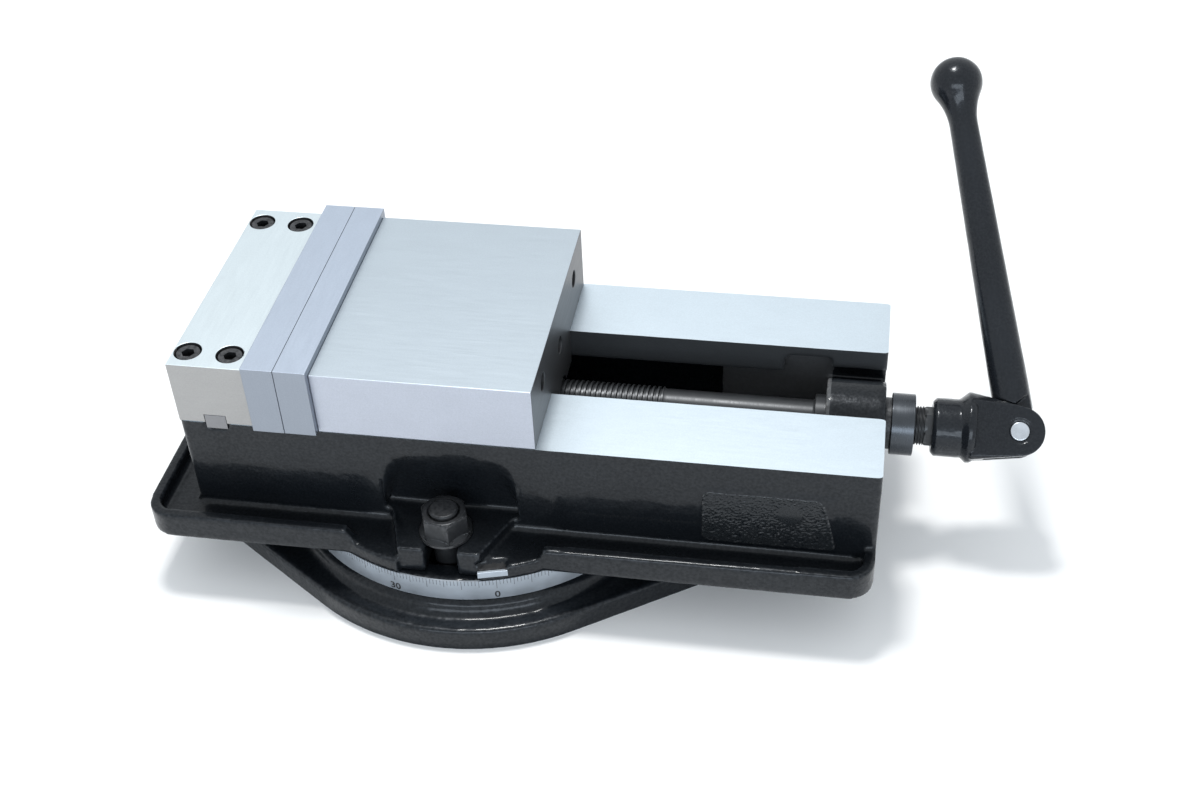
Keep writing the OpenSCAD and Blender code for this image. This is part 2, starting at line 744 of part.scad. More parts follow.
// A flanged hexagon nut with chamfered corners
module clamp_nut() {
    drop = tan(30) * (16 - 11.6);
    color(black_oxide)
    translate([0, -bolt_y, pad_top + slide_gap]) difference() {
        union() {
            cylinder(r = 15, h = 2);
            translate([0, 0, 2 - eps]) cylinder(r1 = 14.6, r2 = 12, h = 2);
            intersection() {
                rotate([0, 0, nut_turn]) cylinder(r = nut_af / sqrt(3), h = nut_h, $fn = 6);
                rotate_extrude() polygon([[0, 0], [16, 0], [16, nut_h - drop], [11.6, nut_h], [0, nut_h]]);
            }
        }
        translate([0, 0, -1]) cylinder(r = bolt_r + run_gap, h = nut_h + 2);
        translate([0, 0, nut_h - 1.2]) cylinder(r1 = bolt_r, r2 = bolt_r + 1.4, h = 1.3);
    }
}

module near_t_bolt() {
    t_bolt();
}

module far_t_bolt() {
    mirror([0, 1, 0]) t_bolt();
}

module near_clamp_nut() {
    clamp_nut();
}

module far_clamp_nut() {
    mirror([0, 1, 0]) clamp_nut();
}

swivel_base();
swivel_pivot();
vise_body();
index_plate();
near_t_bolt();
far_t_bolt();
near_clamp_nut();
far_clamp_nut();
stationary_jaw();
stationary_jaw_key();
stationary_jaw_screws();
fixed_jaw_plate();
fixed_jaw_plate_screws();
movable_jaw();
movable_jaw_plate();
movable_jaw_plate_screws();
jaw_nut();
ball_segment();
jaw_set_screw();
lead_screw();
thrust_washer_inner();
thrust_cage();
thrust_balls();
thrust_washer_outer();
end_washer();
screw_collar();
collar_set_screw();
crank_hub();
crank_pivot_pin();
crank_handle();
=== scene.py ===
"""Milling machine vise on a swivel base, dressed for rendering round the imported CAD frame."""

from math import cos, exp, hypot, pi, radians, sin, sqrt

import bmesh
import bpy
from mathutils import Matrix, Vector, noise


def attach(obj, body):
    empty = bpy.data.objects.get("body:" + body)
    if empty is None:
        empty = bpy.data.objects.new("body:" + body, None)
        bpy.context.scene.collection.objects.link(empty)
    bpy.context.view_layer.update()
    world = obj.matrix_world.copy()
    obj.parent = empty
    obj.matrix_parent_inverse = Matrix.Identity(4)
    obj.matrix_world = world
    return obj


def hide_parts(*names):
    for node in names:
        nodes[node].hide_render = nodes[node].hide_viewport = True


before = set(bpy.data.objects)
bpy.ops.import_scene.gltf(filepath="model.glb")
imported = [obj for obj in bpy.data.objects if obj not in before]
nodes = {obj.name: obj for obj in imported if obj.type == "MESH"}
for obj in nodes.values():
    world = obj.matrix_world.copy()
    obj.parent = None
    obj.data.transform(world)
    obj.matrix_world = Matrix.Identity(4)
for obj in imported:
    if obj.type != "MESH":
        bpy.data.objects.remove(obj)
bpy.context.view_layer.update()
MM = 0.001

# ---------------------------------------------------------------- camera

CAMERA_AT = Vector((0.2100, -0.6986, 0.6756))
CAMERA_FORWARD = Vector((-0.15174, 0.75329, -0.63994)).normalized()
CAMERA_ROLL = radians(2.916)
LENS_MM = 48.55


def make_camera():
    """The fixed camera that gives the picture's viewing angle, without depth of field."""
    level = CAMERA_FORWARD.cross(Vector((0, 0, 1))).normalized()
    upright = level.cross(CAMERA_FORWARD)
    up = upright * cos(CAMERA_ROLL) + level * sin(CAMERA_ROLL)
    right = CAMERA_FORWARD.cross(up)
    turn = Matrix((right, up, -CAMERA_FORWARD)).transposed().to_4x4()
    data = bpy.data.cameras.new("camera")
    data.lens = LENS_MM
    data.sensor_width = 36
    data.clip_start = 0.02
    data.clip_end = 50
    camera = bpy.data.objects.new("camera", data)
    camera.matrix_world = Matrix.Translation(CAMERA_AT) @ turn
    bpy.context.scene.collection.objects.link(camera)
    bpy.context.scene.camera = camera


make_camera()

# ---------------------------------------------------------------- materials


class Paint:
    """A node material: a principled shader and short calls that build its inputs."""

    def __init__(self, name, metal=0.0, rough=0.5, coat=0.0):
        self.material = bpy.data.materials.new(name)
        self.material.use_nodes = True
        self.tree = self.material.node_tree
        self.shader = self.tree.nodes["Principled BSDF"]
        self.shader.inputs["Metallic"].default_value = metal
        self.shader.inputs["Roughness"].default_value = rough
        self.shader.inputs["Coat Weight"].default_value = coat
        self.shader.inputs["Coat Roughness"].default_value = 0.1
        self.place = self.node("ShaderNodeTexCoord").outputs["Object"]

    def node(self, kind, **settings):
        made = self.tree.nodes.new(kind)
        for key, value in settings.items():
            setattr(made, key, value)
        return made

    def feed(self, socket, value):
        if isinstance(value, bpy.types.NodeSocket):
            self.tree.links.new(value, socket)
        else:
            socket.default_value = value

    def noise(self, size_mm, detail=2.0, rough=0.5, stretch=(1, 1, 1), shift=(0, 0, 0)):
        """Noise whose features are about size_mm across, times stretch along each axis."""
        step = self.node("ShaderNodeMapping")
        step.inputs["Location"].default_value = shift
        step.inputs["Scale"].default_value = [1000 / (size_mm * s) for s in stretch]
        self.tree.links.new(self.place, step.inputs["Vector"])
        made = self.node("ShaderNodeTexNoise")
        made.inputs["Scale"].default_value = 1.0
        made.inputs["Detail"].default_value = detail
        made.inputs["Roughness"].default_value = rough
        self.tree.links.new(step.outputs[0], made.inputs["Vector"])
        return made.outputs["Fac"]

    def math(self, operation, a, b):
        made = self.node("ShaderNodeMath", operation=operation)
        self.feed(made.inputs[0], a)
        self.feed(made.inputs[1], b)
        return made.outputs[0]

    def span(self, value, low, high, to_low=0.0, to_high=1.0):
        """value's range low..high moved to to_low..to_high and held there."""
        made = self.node("ShaderNodeMapRange", clamp=True)
        for socket, number in zip(made.inputs, (value, low, high, to_low, to_high)):
            self.feed(socket, number)
        return made.outputs[0]

    def blend(self, share, a, b):
        made = self.node("ShaderNodeMix", data_type="RGBA")
        self.feed(made.inputs["Factor"], share)
        self.feed(made.inputs[6], a if isinstance(a, bpy.types.NodeSocket) else (*a, 1))
        self.feed(made.inputs[7], b if isinstance(b, bpy.types.NodeSocket) else (*b, 1))
        return made.outputs[2]

    def colour(self, value):
        self.feed(self.shader.inputs["Base Color"], value)

    def roughness(self, value):
        self.feed(self.shader.inputs["Roughness"], value)

    def bump(self, *layers):
        """Each layer is a height socket and how tall it is in millimetres."""
        last = None
        for height, tall_mm in layers:
            made = self.node("ShaderNodeBump")
            made.inputs["Strength"].default_value = 1.0
            made.inputs["Distance"].default_value = tall_mm * MM
            self.tree.links.new(height, made.inputs["Height"])
            if last is not None:
                self.tree.links.new(last, made.inputs["Normal"])
            last = made.outputs[0]
        self.tree.links.new(last, self.shader.inputs["Normal"])


def enamel(name, grain_mm, grain_tall, lump_tall, base, worn, rough):
    """Enamel over rough cast iron, with dust in patches and rubbed edges. Heights are in millimetres."""
    p = Paint(name, coat=0.30)
    peel = p.span(p.noise(grain_mm, 3, 0.6), 0.36, 0.64, 0.12, 0.26)
    p.feed(p.shader.inputs["Specular IOR Level"], peel)
    p.feed(p.shader.inputs["Specular Tint"], (0.86, 0.92, 1.0, 1))
    broad = p.noise(45, 3)
    grain = p.noise(grain_mm, 3, 0.55)
    lumps = p.noise(grain_mm * 4.5, 2)
    edge = p.node("ShaderNodeNewGeometry").outputs["Pointiness"]
    rubbed = p.math("MULTIPLY", p.span(edge, 0.515, 0.56), p.span(p.noise(2.4, 3), 0.42, 0.62))
    tint = p.blend(p.span(broad, 0.35, 0.65), base, [c * 1.25 for c in base])
    dusty = p.blend(p.span(p.noise(16, 4), 0.5, 0.75, 0.0, 0.18), tint, worn)
    p.colour(p.blend(p.math("MULTIPLY", rubbed, 0.55), dusty, [c * 4 for c in worn]))
    p.roughness(p.span(p.noise(30, 2), 0.3, 0.7, rough - 0.05, rough + 0.06))
    p.bump((lumps, lump_tall), (grain, grain_tall))
    return p.material


def ground(name, base, along, rough, metal=0.92, line=0.004, mottle=0.05):
    """Surface-ground steel, with its fine lines running along one axis and faint stains."""
    p = Paint(name, metal=metal)
    stretch = [22 if axis == along else 0.35 for axis in "XYZ"]
    lines = p.noise(1.0, 2, 0.6, stretch=stretch)
    wide = p.noise(1.0, 2, 0.5, stretch=[60 if axis == along else 2.2 for axis in "XYZ"])
    cloud = p.noise(26, 4, 0.6)
    speck = p.noise(0.8, 3, 0.7)
    share = p.math("ADD", p.span(cloud, 0.3, 0.7, 0, 0.22), p.span(speck, 0.3, 0.7, 0, 0.78))
    dark = [c * (1 - 2.2 * mottle) for c in base]
    tone = p.blend(share, dark, base)
    stain = p.span(p.noise(38, 5, 0.65, shift=(3.1, 1.7, 0.4)), 0.60, 0.78, 0, 0.12)
    p.colour(p.blend(stain, tone, [base[0] * 0.86, base[1] * 0.84, base[2] * 0.80]))
    p.roughness(p.span(lines, 0.3, 0.7, rough - 0.04, rough + 0.05))
    p.bump((wide, line * 1.2), (lines, line), (speck, line * 0.8))
    return p.material


def turned(name, base, rough, ring_mm=0.25, metal=0.95, tall=0.004, axis="X"):
    """Lathe-turned steel with fine rings round an axis."""
    p = Paint(name, metal=metal)
    stretch = [0.3 if letter == axis else 14 for letter in "XYZ"]
    rings = p.noise(ring_mm / 0.3, 2, 0.6, stretch=stretch)
    cloud = p.noise(12, 4, 0.6)
    p.colour(p.blend(p.span(cloud, 0.3, 0.7), [c * 0.86 for c in base], base))
    p.roughness(p.span(p.math("ADD", rings, cloud), 0.7, 1.3, rough - 0.06, rough + 0.08))
    p.bump((rings, tall), (p.noise(1.1, 3), tall * 1.2))
    return p.material


def blackened(name, base, rough, metal=0.55):
    """Black-oxide steel or ink: satin, with grey rubbing on the edges."""
    p = Paint(name, metal=metal)
    edge = p.node("ShaderNodeNewGeometry").outputs["Pointiness"]
    rubbed = p.math("MULTIPLY", p.span(edge, 0.51, 0.58), p.span(p.noise(1.8, 3), 0.35, 0.6))
    cloud = p.noise(7, 4, 0.6)
    tone = p.blend(p.span(cloud, 0.3, 0.7), [c * 0.75 for c in base], [c * 1.25 for c in base])
    p.colour(p.blend(p.math("MULTIPLY", rubbed, 0.5), tone, (0.22, 0.22, 0.23)))
    p.roughness(p.span(p.noise(3, 4), 0.3, 0.7, rough - 0.06, rough + 0.1))
    p.bump((p.noise(0.7, 3), 0.006), (p.noise(3.5, 2), 0.01))
    return p.material


INK = (0.0040, 0.0051, 0.0066)
DUST = (0.010, 0.0115, 0.0135)
M = {
    "body_paint": enamel("body_enamel", 1.7, 0.09, 0.42, INK, DUST, 0.32),
    "base_paint": enamel("base_enamel", 1.9, 0.09, 0.40, INK, DUST, 0.34),
    # Lighter enamel for the inner room's walls: painted light falling on them, on the same casting paint
    "painted_light_room": enamel("cavity_enamel_painted_light", 2.2, 0.10, 0.30, (0.055, 0.057, 0.060), (0.07, 0.07, 0.07), 0.5),
    "seat_paint": blackened("seat_enamel", (0.008, 0.008, 0.009), 0.75, metal=0.0),
    "pad_paint": enamel("pad_enamel", 1.0, 0.04, 0.05, (0.009, 0.0105, 0.012), (0.03, 0.03, 0.031), 0.27),
    "crank_paint": enamel("crank_enamel", 1.2, 0.09, 0.20, (0.008, 0.0095, 0.012), DUST, 0.24),
    "rail": ground("ground_rail", (0.70, 0.79, 0.86), "X", 0.42),
    "slot_face": ground("machined_slot", (0.085, 0.092, 0.10), "X", 0.40, 0.6, 0.006, 0.1),
    "fixed_top": ground("ground_fixed_jaw", (0.72, 0.80, 0.84), "Y", 0.42),
    "fixed_side": ground("side_of_fixed_jaw", (0.40, 0.395, 0.39), "X", 0.45, 0.9, 0.005, 0.06),
    "moving_top": ground("ground_moving_jaw", (0.56, 0.63, 0.69), "X", 0.40),
    "moving_side": ground("side_of_moving_jaw", (0.50, 0.53, 0.60), "X", 0.42, 0.9, 0.005, 0.07),
    "moving_end": ground("end_of_moving_jaw", (0.16, 0.165, 0.175), "Y", 0.42, 0.9, 0.005, 0.06),
    "plate_top": ground("ground_plate", (0.56, 0.63, 0.74), "Y", 0.36, 0.95, 0.004),
    "plate_side": ground("side_of_plate", (0.31, 0.34, 0.39), "Z", 0.40, 0.95, 0.005, 0.06),
    "ring": turned("turned_ring", (0.44, 0.49, 0.55), 0.44, metal=0.85, axis="Z", tall=0.0015),
    "bright": turned("bright_steel", (0.62, 0.66, 0.71), 0.28, tall=0.002),
    "screw": turned("screw_steel", (0.055, 0.058, 0.062), 0.36, metal=0.7, tall=0.003),
    "oxide": blackened("black_oxide", (0.026, 0.028, 0.031), 0.34),
    "collar": turned("collar_steel", (0.075, 0.083, 0.094), 0.27, metal=0.85, tall=0.002),
    # Dark colour for faces inside a part's box, mostly hole walls: painted shade in the holes
    "bore": blackened("painted_hole_shade", (0.035, 0.036, 0.038), 0.5),
    "key": turned("key_steel", (0.27, 0.27, 0.28), 0.42, ring_mm=0.4),
    "hard": turned("hardened_steel", (0.34, 0.34, 0.35), 0.3),
    "cage": turned("cage_brass", (0.52, 0.38, 0.16), 0.35),
    "mark": blackened("scale_ink", (0.012, 0.012, 0.013), 0.55, metal=0.0),
}

# ---------------------------------------------------------------- mesh helpers


def link(name, mesh):
    """Puts a mesh or a curve into the scene as an object."""
    made = bpy.data.objects.new(name, mesh)
    bpy.context.scene.collection.objects.link(made)
    return made


def drop_custom_normals(mesh):
    """Removes stored normals, so that they are worked out again from the changed shape."""
    for layer in [a.name for a in mesh.attributes if a.name == "custom_normal"]:
        mesh.attributes.remove(mesh.attributes[layer])


def bake_modifiers(made):
    """Leaves the object with its modifiers' result as its own mesh."""
    graph = bpy.context.evaluated_depsgraph_get()
    mesh = bpy.data.meshes.new_from_object(made.evaluated_get(graph))
    made.modifiers.clear()
    made.data = mesh


def finish_piece(made, body, materials, replaced=(), smooth=True, sharp=None):
    """Gives a piece its materials, shading and body, and hides the CAD nodes it replaces."""
    kept = [face.material_index for face in made.data.polygons]
    made.data.materials.clear()
    for material in materials:
        made.data.materials.append(material)
    for face, index in zip(made.data.polygons, kept):
        face.use_smooth = smooth
        face.material_index = index
    if sharp is not None:
        made.data.set_sharp_from_angle(angle=radians(sharp))
    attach(made, body)
    if replaced:
        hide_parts(*replaced)


FLAT_SPARE = 3 * MM
FLAT_REACH = 0.02 * MM


def waver(mesh, tall_mm, size_mm):
    """Lets a cast or forged surface rise and fall a little, as it leaves the mould."""
    step = 1 / (size_mm * MM)
    moved = []
    for v in mesh.vertices:
        swell = noise.noise(v.co * step) + 0.5 * noise.noise(v.co * step * 2.3 + Vector((7, 3, 5)))
        moved.extend(v.co + v.normal * swell * tall_mm * MM)
    mesh.vertices.foreach_set("co", moved)


def casting(name, node, voxel_mm, rounds, keep, flats=(), shape=None, wave=(0.1, 9)):
    """A cast version of a CAD solid: its edges and inside corners are softened evenly.
    Each of flats is (axis, side, at): a ground face that stays flat and sharp. It is drawn
    out before the softening and cut back to its plane at the end, with material index 1."""
    mesh = nodes[node].data.copy()
    mesh.name = name
    drop_custom_normals(mesh)
    bm = bmesh.new()
    bm.from_mesh(mesh)
    bmesh.ops.remove_doubles(bm, verts=bm.verts, dist=1e-6)
    for axis, side, at in flats:
        for v in bm.verts:
            if abs(v.co[axis] - at) < FLAT_REACH:
                v.co[axis] += side * FLAT_SPARE
    bm.to_mesh(mesh)
    bm.free()
    made = link(name, mesh)
    remesh = made.modifiers.new("remesh", "REMESH")
    remesh.mode = "VOXEL"
    remesh.voxel_size = voxel_mm * MM * 1
    soften = made.modifiers.new("soften", "SMOOTH")
    soften.factor = 0.5
    soften.iterations = rounds
    bake_modifiers(made)
    if shape is not None:
        placed = [number for v in made.data.vertices for number in shape(v.co)]
        made.data.vertices.foreach_set("co", placed)
    if keep < 1:
        thin = made.modifiers.new("thin", "DECIMATE")
        thin.ratio = keep
        bake_modifiers(made)
    waver(made.data, *wave)
    bm = bmesh.new()
    bm.from_mesh(made.data)
    for f in bm.faces:
        f.material_index = 0
    for axis, side, at in flats:
        normal = Vector([side if i == axis else 0 for i in range(3)])
        point = Vector([at if i == axis else 0 for i in range(3)])
        geometry = bm.verts[:] + bm.edges[:] + bm.faces[:]
        cut = bmesh.ops.bisect_plane(
            bm, geom=geometry, dist=1e-7, plane_co=point, plane_no=normal, clear_outer=True
        )
        rim = [g for g in cut["geom_cut"] if isinstance(g, bmesh.types.BMEdge)]
        filled = bmesh.ops.triangle_fill(bm, use_beauty=True, use_dissolve=False, edges=rim, normal=normal)
        for g in filled["geom"]:
            if isinstance(g, bmesh.types.BMFace):
                g.material_index = 1
                if g.normal.dot(normal) < 0:
                    g.normal_flip()
    bm.to_mesh(made.data)
    bm.free()
    return made


INSIDE = 0.9 * MM
EDGE_ANGLE = radians(28)


def soften_edges(node, width_mm, materials):
    """Keeps the CAD node, breaks its sharp edges and gives it its materials: one for all of it,
    or four, for faces that look up or down, along Y, along X, and for what lies inside its box."""
    made = nodes[node]
    drop_custom_normals(made.data)
    made.data.materials.clear()
    for material in materials:
        made.data.materials.append(material)
    low = [min(v.co[k] for v in made.data.vertices) for k in range(3)]
    high = [max(v.co[k] for v in made.data.vertices) for k in range(3)]
    for face in made.data.polygons:
        face.use_smooth = True
        n = face.normal
        if len(materials) == 1:
            face.material_index = 0
        # Faces inside the box, mostly hole walls, take the fourth material, which paints shade into the
        # holes
        elif all(low[k] + INSIDE < face.center[k] < high[k] - INSIDE for k in range(3)):
            face.material_index = 3
        else:
            face.material_index = 0 if abs(n.z) > 0.7 else 1 if abs(n.y) > 0.7 else 2
    weld = made.modifiers.new("weld", "WELD")
    weld.merge_threshold = 2e-6
    flat = made.modifiers.new("flat", "DECIMATE")
    flat.decimate_type = "DISSOLVE"
    flat.angle_limit = radians(0.4)
    bevel = made.modifiers.new("edges", "BEVEL")
    bevel.width = width_mm * MM
    bevel.segments = 2
    bevel.limit_method = "ANGLE"
    bevel.angle_limit = EDGE_ANGLE
    bevel.use_clamp_overlap = False
    bevel.harden_normals = True


# ---------------------------------------------------------------- castings

RAIL_Z = 106 * MM
SLOT_Y = 28.9 * MM
LIP_Z = 87 * MM
# The room between the rails, near the crank end, whose walls get a lighter paint as painted light
INNER_X, INNER_Y, FLOOR_Z = (139 * MM, 204 * MM), 39.5 * MM, 51 * MM
# The step above the index plate
SEAT_Z, SEAT_R = 43 * MM, 104 * MM
BARE_SLOT, INNER, SEAT = 2, 3, 4


def bed_materials(mesh):
    """Bare metal on the slot's inner sides, flat paint on the index step, and in the inner room a dull
    paint made lighter as painted light.
    """
    for face in mesh.polygons:
        c, n = face.center, face.normal
        painted = face.material_index == 0
        in_room = abs(c.y) < INNER_Y and c.z > FLOOR_Z and INNER_X[0] < c.x < INNER_X[1]
        if painted and abs(n.y) > 0.75 and abs(c.y) < SLOT_Y + 1.2 * MM and c.z > LIP_Z:
            face.material_index = BARE_SLOT
        elif n.z > 0.6 and abs(c.z - SEAT_Z) < 0.8 * MM and c.y < 0 and hypot(c.x, c.y) > SEAT_R:
            face.material_index = SEAT
        # The inner room's faces take the lighter enamel, which is painted light
        elif painted and in_room:
            face.material_index = INNER


WALL_Y = 76.2
ROOM_X = (-38.3, 38.8)
ROOM_Y = (60, 78)
ROOM_Z = (54.5, 100)
ROOM_DEEP = 7.7


def ease(share):
    """0 to 1, starting and ending softly."""
    return share * share * (3 - 2 * share)


def scoop(co):
    """Blends the wrench room behind each clamp nut softly into the side wall."""
    x, y, z = co.x / MM, abs(co.y) / MM, co.z / MM
    low, high = ROOM_X
    if not (low < x < high and ROOM_Y[0] < y < ROOM_Y[1] and ROOM_Z[0] < z < ROOM_Z[1]):
        return co
    down = ease(min(max((99 - z) / 43, 0), 1))
    ramp = 0.3 + 0.42 * (z - 54)
    side = ease(min(max(min(x - low, high - x) / ramp, 0), 1))
    return Vector((co.x, (WALL_Y - ROOM_DEEP * down * side) * MM * (1 if co.y > 0 else -1), co.z))


bed = casting("bed_casting", "vise_body", 1.25, 5, 0.5, flats=[(2, 1, RAIL_Z)], shape=scoop)
bed_materials(bed.data)
coats = [M[key] for key in ("body_paint", "rail", "slot_face", "painted_light_room", "seat_paint")]
finish_piece(bed, "bed", coats, ["vise_body"], sharp=50)

RING_R = 112.5 * MM
RING_Z = (21.8 * MM, 36 * MM)
UNDER_RING_R = 111.2 * MM


def clear_of_ring(co):
    """Draws the casting in under the graduated band."""
    r = hypot(co.x, co.y)
    if co.z > RING_Z[0] - 0.4 * MM and UNDER_RING_R < r < RING_R + 2 * MM:
        k = UNDER_RING_R / r
        return Vector((co.x * k, co.y * k, co.z))
    return co


base = casting("base_casting", "swivel_base", 1.3, 5, 0.6, flats=[(2, -1, 0.0)], shape=clear_of_ring)
finish_piece(base, "base", [M["base_paint"], M["bright"]], ["swivel_base"], sharp=50)

hub = casting("hub_forging", "crank_hub", 0.55, 5, 0.6, wave=(0.07, 4))
finish_piece(hub, "hub", [M["crank_paint"]], ["crank_hub"])

handle = casting("handle_forging", "crank_handle", 0.65, 4, 0.7, wave=(0.07, 11))
finish_piece(handle, "handle", [M["crank_paint"]], ["crank_handle"])

# ---------------------------------------------------------------- built pieces


class Shell:
    """Loose vertices and faces on their way to becoming one mesh."""

    def __init__(self):
        self.points, self.faces, self.tags = [], [], []

    def face(self, corners, tag=0):
        """Adds a face from coordinates, not shared with its neighbours until make() welds them."""
        first = len(self.points)
        self.points.extend(corners)
        self.faces.append(tuple(range(first, first + len(corners))))
        self.tags.append(tag)

    def grid(self, rows, closed=False):
        """Quads between rows of points; closed joins each row's end to its start."""
        first, wide = len(self.points), len(rows[0])
        for row in rows:
            self.points.extend(row)
        for i in range(len(rows) - 1):
            for j in range(wide if closed else wide - 1):
                k = (j + 1) % wide
                a, b = first + i * wide, first + (i + 1) * wide
                self.faces.append((a + j, a + k, b + k, b + j))
                self.tags.append(0)

    def make(self, name):
        """The mesh as an object, with its doubled points welded and its faces turned outwards."""
        mesh = bpy.data.meshes.new(name)
        mesh.from_pydata(self.points, [], self.faces)
        for face, tag in zip(mesh.polygons, self.tags):
            face.material_index = tag
        bm = bmesh.new()
        bm.from_mesh(mesh)
        bmesh.ops.remove_doubles(bm, verts=bm.verts, dist=0.002 * MM)
        bmesh.ops.recalc_face_normals(bm, faces=bm.faces)
        bm.to_mesh(mesh)
        bm.free()
        return link(name, mesh)


def on_band(angle, r, z):
    return (r * cos(angle), r * sin(angle), z)


def band_quad(shell, a, b, low, high, tag=0):
    """A face between two angles. low and high are its edges, each as (radius, height)."""
    shell.face([on_band(a, *low), on_band(b, *low), on_band(b, *high), on_band(a, *high)], tag)


ZERO = radians(-74)
MARK_HALF = 0.14 * MM / RING_R
MARK_DEEP = 0.16 * MM
BAND_THICK = 1.0 * MM


def mark_length(degree):
    return (6.4 if degree % 10 == 0 else 4.9 if degree % 5 == 0 else 3.4) * MM


def graduated_ring():
    """The bright band, with a mark cut at every degree."""
    shell = Shell()
    floor_r, inner = RING_R - MARK_DEEP, RING_R - BAND_THICK
    z0, z1 = RING_Z
    for i in range(360):
        here, after = ZERO + radians(i), ZERO + radians(i + 1)
        zt = z1 - mark_length(i)
        a, b = here - MARK_HALF, here + MARK_HALF
        edges = [b + (after - MARK_HALF - b) * k / 3 for k in range(4)]
        for p, q in zip(edges, edges[1:]):
            band_quad(shell, p, q, (RING_R, z0), (RING_R, z1))
            band_quad(shell, p, q, (RING_R, z1), (inner, z1))
        band_quad(shell, a, b, (RING_R, z0), (RING_R, zt))
        band_quad(shell, a, b, (floor_r, zt), (floor_r, z1), 1)
        band_quad(shell, a, b, (RING_R, zt), (floor_r, zt), 1)
        for edge in (a, b):
            outline = ((RING_R, zt), (floor_r, zt), (floor_r, z1), (RING_R, z1))
            shell.face([on_band(edge, *corner) for corner in outline], 1)
        band_quad(shell, a, b, (floor_r, z1), (inner, z1))
    full = [radians(k) for k in range(360)]
    shell.grid([[on_band(a, inner, z) for a in full] for z in (z0, z1)], closed=True)
    shell.grid([[on_band(a, r, z0) for a in full] for r in (inner, RING_R)], closed=True)
    ring = shell.make("degree_ring")
    finish_piece(ring, "base", [M["ring"], M["mark"]], smooth=False)


NUMBER_R = RING_R + 0.05 * MM
NUMBER_Z = 22.9 * MM


def stamped_numbers():
    """The ring's numbers, counting to 90 both ways from each zero."""
    shell = Shell()
    for step in range(12):
        count = step % 6
        label = str(30 * min(count, 6 - count))
        curve = bpy.data.curves.new("number", "FONT")
        curve.body = label
        curve.align_x = "CENTER"
        curve.size = 6.6 * MM
        curve.offset = 0.14 * MM
        curve.resolution_u = 3
        text = link("number", curve)
        graph = bpy.context.evaluated_depsgraph_get()
        mesh = bpy.data.meshes.new_from_object(text.evaluated_get(graph))
        bpy.data.objects.remove(text)
        middle = ZERO + radians(30 * step)
        for face in mesh.polygons:
            corners = [mesh.vertices[k].co for k in face.vertices]
            shell.face([on_band(middle + c.x / RING_R, NUMBER_R, NUMBER_Z + c.y) for c in corners])
    made = shell.make("ring_numbers")
    finish_piece(made, "base", [M["mark"]], smooth=False)


AXIS_Z = 79 * MM
THREAD_STEPS = 48
CRANK_TILT = radians(45)
# All of these are in millimetres, as (x, radius) or for a thread's profile as (offset, radius)
MAIN_THREAD = (-82, 110)
MAIN_PITCH = 3.0
MAIN_PROFILE = [(0, 11), (1.1, 11), (1.45, 9.45), (2.6, 9.4)]
SHANK = [(110, 11), (110.2, 10.2), (112, 9.9), (113, 10), (195, 10), (196, 10.6), (196, 13),
         (196.5, 13.5), (202, 13.5), (202, 11), (252, 11), (252.2, 10.6)]
COLLAR_THREAD = (252, 257.2)
COLLAR_PITCH = 1.5
COLLAR_PROFILE = [(0, 11), (0.25, 11), (0.75, 10.1), (1.0, 10.1)]
NECK = [(257.2, 10.6), (257.4, 10.1), (259, 10.0)]
HEX_R = 19 / sqrt(3)
HEXAGON = [(256.8, 0), (256.8, 9.6), (258, HEX_R), (282.2, HEX_R), (283, HEX_R - 0.9), (283, 0)]


def about_screw(x_mm, r_mm, angle):
    return (x_mm * MM, r_mm * MM * cos(angle), AXIS_Z + r_mm * MM * sin(angle))


def left_thread(shell, xa, xb, pitch, profile):
    """A left-hand thread from xa to xb; profile gives (offset along X, radius) over one pitch."""
    count = len(profile)
    rows = []
    turns = int((xb - xa) / pitch) + 3
    for k in range(-count, turns * count):
        lead = xa + pitch * (k // count) + profile[k % count][0]
        r = profile[k % count][1]
        row = []
        for j in range(THREAD_STEPS + 1):
            x = lead - pitch * j / THREAD_STEPS + pitch
            row.append(about_screw(min(max(x, xa), xb), r, 2 * pi * j / THREAD_STEPS))
        rows.append(row)
    shell.grid(rows)


def turned_rings(shell, outline, steps=THREAD_STEPS, lean=0.0):
    """A surface of revolution about the screw's axis, or a prism when steps is small."""
    angles = [lean + 2 * pi * j / steps for j in range(steps)]
    shell.grid([[about_screw(x, r, angle) for angle in angles] for x, r in outline], closed=True)


def threaded_screw():
    """The lead screw with its true left-hand thread."""
    shell = Shell()
    left_thread(shell, *MAIN_THREAD, MAIN_PITCH, MAIN_PROFILE)
    turned_rings(shell, [(MAIN_THREAD[0], 0), (MAIN_THREAD[0], 11)])
    turned_rings(shell, SHANK)
    left_thread(shell, *COLLAR_THREAD, COLLAR_PITCH, COLLAR_PROFILE)
    turned_rings(shell, NECK)
    turned_rings(shell, HEXAGON, steps=6, lean=CRANK_TILT)
    made = shell.make("threaded_lead_screw")
    finish_piece(made, "screw", [M["screw"]], ["lead_screw"], sharp=28)


PAD_X = (140.0, 215.5)
PAD_Z = (50.0, 87.6)
PAD_CORNER_R = 5
SPOT_AT, SPOT_R = (188.2, 74.5), 6.3


def pad_end(z):
    """The panel's slanting edge on the crank side."""
    return 205.5 + 9.3 * ((PAD_Z[1] - z) / (PAD_Z[1] - PAD_Z[0])) ** 0.8


def pad_margin(x, z):
    """How far a point lies inside the panel's outline."""
    dx, dz = min(x - PAD_X[0], pad_end(z) - x), min(z - PAD_Z[0], PAD_Z[1] - z)
    if dx < PAD_CORNER_R and dz < PAD_CORNER_R:
        return PAD_CORNER_R - hypot(PAD_CORNER_R - dx, PAD_CORNER_R - dz)
    return min(dx, dz)


